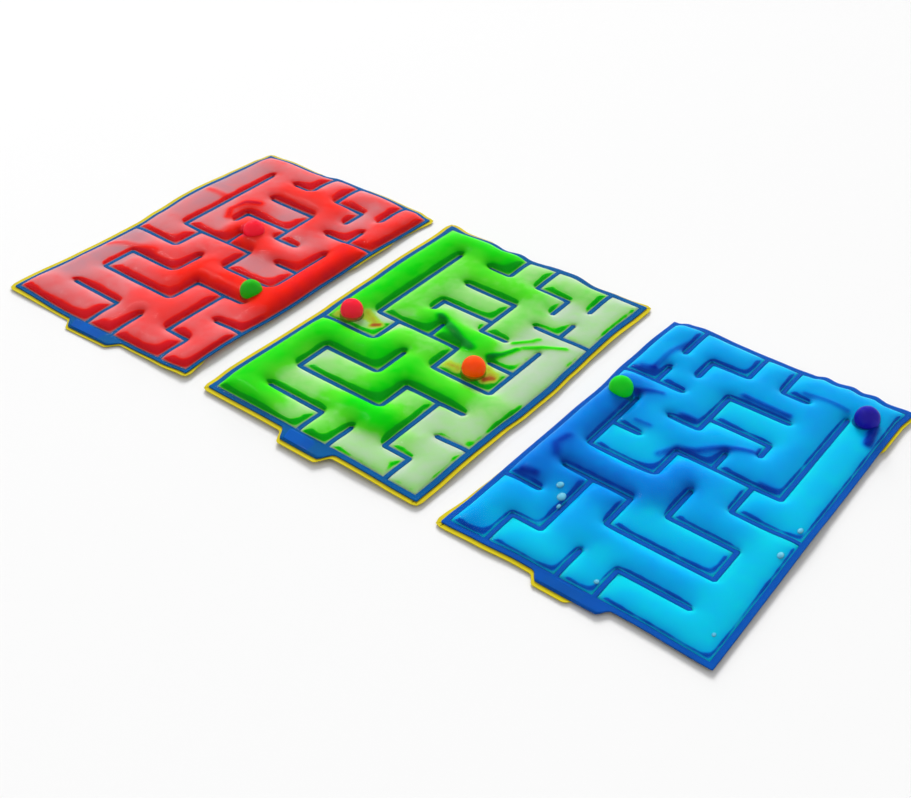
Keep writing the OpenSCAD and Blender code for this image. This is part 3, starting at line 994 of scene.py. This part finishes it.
def hood(body, node, gel_shade_tone, marble_tone):
    """The film that a marble lifts, and the gel that clings round its foot."""
    low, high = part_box(node)
    centre = [(a + b) / 2 for a, b in zip(low, high)]
    ball = (high[0] - low[0]) / 2 + HOOD_GAP
    cap = np.linspace(0.02, HOOD_LEAVES, CAP_RINGS)
    outer = [(ball * math.sin(t), ball * math.cos(t)) for t in cap]
    r0, z0 = outer[-1]
    foot = -centre[2] + HOOD_FOOT
    for t in np.linspace(0, 1, SKIRT_RINGS + 1)[1:]:
        outer.append((r0 + (HOOD_REACH - r0) * t ** 1.5, z0 + (foot - z0) * (t ** 0.8)))
    inner = [(max(r - HOOD_THICK, 0.1 * MM), z - HOOD_THICK) for r, z in reversed(outer)]
    rings = outer + inner
    verts = []
    for r, z in rings:
        for k in range(HOOD_SIDES):
            a = 2 * math.pi * k / HOOD_SIDES
            wave = 1 + 0.03 * math.sin(3 * a + centre[0] * 90) * (r / HOOD_REACH) ** 4
            verts.append((centre[0] + r * wave * math.cos(a),
                          centre[1] + r * wave * math.sin(a), centre[2] + z))
    faces = ring_faces(len(rings), HOOD_SIDES)
    # the film over the marble, the gel at its foot, and the inside of both with the two ends
    outside, skirt, inside = 0, 2, 1
    strips = ([outside] * (CAP_RINGS - 1) + [skirt] * SKIRT_RINGS + [inside] * len(inner))
    slots = list(np.repeat(strips, HOOD_SIDES)) + [inside, inside]
    clinging = shaded_clinging_gel(body + "_skirt", gel_shade_tone, marble_tone)
    obj = piece(body + "_hood", verts, faces, [FILM, FILM_INSIDE, clinging], slots)
    obj.data.flip_normals()
    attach(obj, body)


def perimeter():
    """Walks round a pad along the weld's edge.

    Yields the place, the direction outward there, and how far round it is: 0 to 1 along
    the near end, 1 to 2 along +across, 2 to 3 back along the far end, 3 to 4 along -across."""
    low_u, high_u, low_v, high_v = -BORDER, LENGTH + BORDER, -BORDER, WIDTH + BORDER
    corners = [(low_u, low_v), (low_u, high_v), (high_u, high_v), (high_u, low_v)]
    normals = [(-1, 0), (0, 1), (1, 0), (0, -1)]
    for side in range(4):
        (u0, v0), (u1, v1) = corners[side], corners[(side + 1) % 4]
        nu, nv = normals[side]
        pu, pv = normals[side - 1]
        for i in range(RIM_STEPS):
            t = i / RIM_STEPS
            du, dv = (nu, nv) if i else (nu + pu, nv + pv)
            yield u0 + (u1 - u0) * t, v0 + (v1 - v0) * t, du, dv, side + t


def marble(body, node, tone):
    """Colours one of the CAD's marbles and makes the film over it."""
    r, g, b = tone
    # the marble glows with its own colour at strength 0.3: painted light that brightens its side in
    # shade
    mat = two_tone(body, (r * 0.85, g * 0.85, b * 0.85), (r, g, b), 120,
                   Roughness=0.5, Specular_IOR_Level=0.2,
                   Subsurface_Weight=1.0, Subsurface_Scale=0.012,
                   Emission_Color=srgb(r, g, b), Emission_Strength=0.3)
    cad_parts[node].data.materials.clear()
    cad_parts[node].data.materials.append(mat)
    # the skirt is painted in shade: the gel's first shaded tone and the marble's colour darkened to
    # 0.7
    gel_shade_tone = PADS[node.split("_")[0]]["tones"][4]
    hood(body, node, gel_shade_tone, (r * 0.7, g * 0.7, b * 0.7))


for number, (pad_name, pad_spec) in enumerate(PADS.items()):
    Pad(pad_name, pad_spec, phase=0.4 + 1.7 * number).build()
for marble_body, (marble_node, marble_tone) in MARBLES.items():
    marble(marble_body, marble_node, marble_tone)


# ---------------------------------------------------------------- floor, light and camera
def floor():
    """The white table under the set."""
    mat, tree, shader = material("floor", Roughness=0.9, Specular_IOR_Level=0.1,
                                 Base_Color=(FLOOR_TONE, FLOOR_TONE, FLOOR_TONE, 1))
    noise_bump(tree, shader, scale=30, distance=0.0002, strength=0.1)
    verts = [(x * FLOOR_SIZE, y * FLOOR_SIZE, 0) for x, y in ((-1, -1), (1, -1), (1, 1), (-1, 1))]
    obj = piece("floor", verts, [(0, 1, 2, 3)], [mat])


def light(name, kind, place, strength, size, glossy):
    """A light that points from its place to the middle of the set."""
    lamp = bpy.data.lights.new(name, kind)
    lamp.energy = strength
    if kind == "SUN":
        lamp.angle = size
    else:
        lamp.shape, lamp.size = "DISK", size
    obj = bpy.data.objects.new(name, lamp)
    obj.location = place
    obj.rotation_euler = (-Vector(place)).to_track_quat("-Z", "Y").to_euler()
    obj.visible_glossy = glossy
    bpy.context.scene.collection.objects.link(obj)


def camera():
    """The camera, where the photograph's stood."""
    a, e, roll = CAMERA_AZIMUTH, CAMERA_ELEVATION, CAMERA_ROLL
    back = Vector((math.sin(a) * math.cos(e), -math.cos(a) * math.cos(e), math.sin(e)))
    level = Vector((math.cos(a), math.sin(a), 0))
    up = back.cross(level)
    right = level * math.cos(roll) + up * math.sin(roll)
    top = up * math.cos(roll) - level * math.sin(roll)
    data = bpy.data.cameras.new("camera")
    data.lens, data.sensor_width = CAMERA_LENS, 36
    obj = bpy.data.objects.new("camera", data)
    turn = Matrix((right, top, back)).transposed().to_4x4()
    obj.matrix_world = Matrix.Translation(CAMERA_TARGET + back * CAMERA_DISTANCE) @ turn
    bpy.context.scene.collection.objects.link(obj)
    bpy.context.scene.camera = obj


floor()
light("back_light", "SUN", BACK_LIGHT, 3.4, math.radians(22), False)
light("low_light", "SUN", LOW_LIGHT, 1.1, math.radians(30), False)
light("soft_box", "AREA", SOFT_BOX, 4, 0.5, True)
world = bpy.data.worlds.new("studio")
world.use_nodes = True
world.node_tree.nodes["Background"].inputs["Color"].default_value = (1, 1, 1, 1)
world.node_tree.nodes["Background"].inputs["Strength"].default_value = ROOM_LIGHT
bpy.context.scene.world = world
bpy.context.scene.view_settings.view_transform = "Standard"
bpy.context.scene.view_settings.exposure = EXPOSURE
camera()
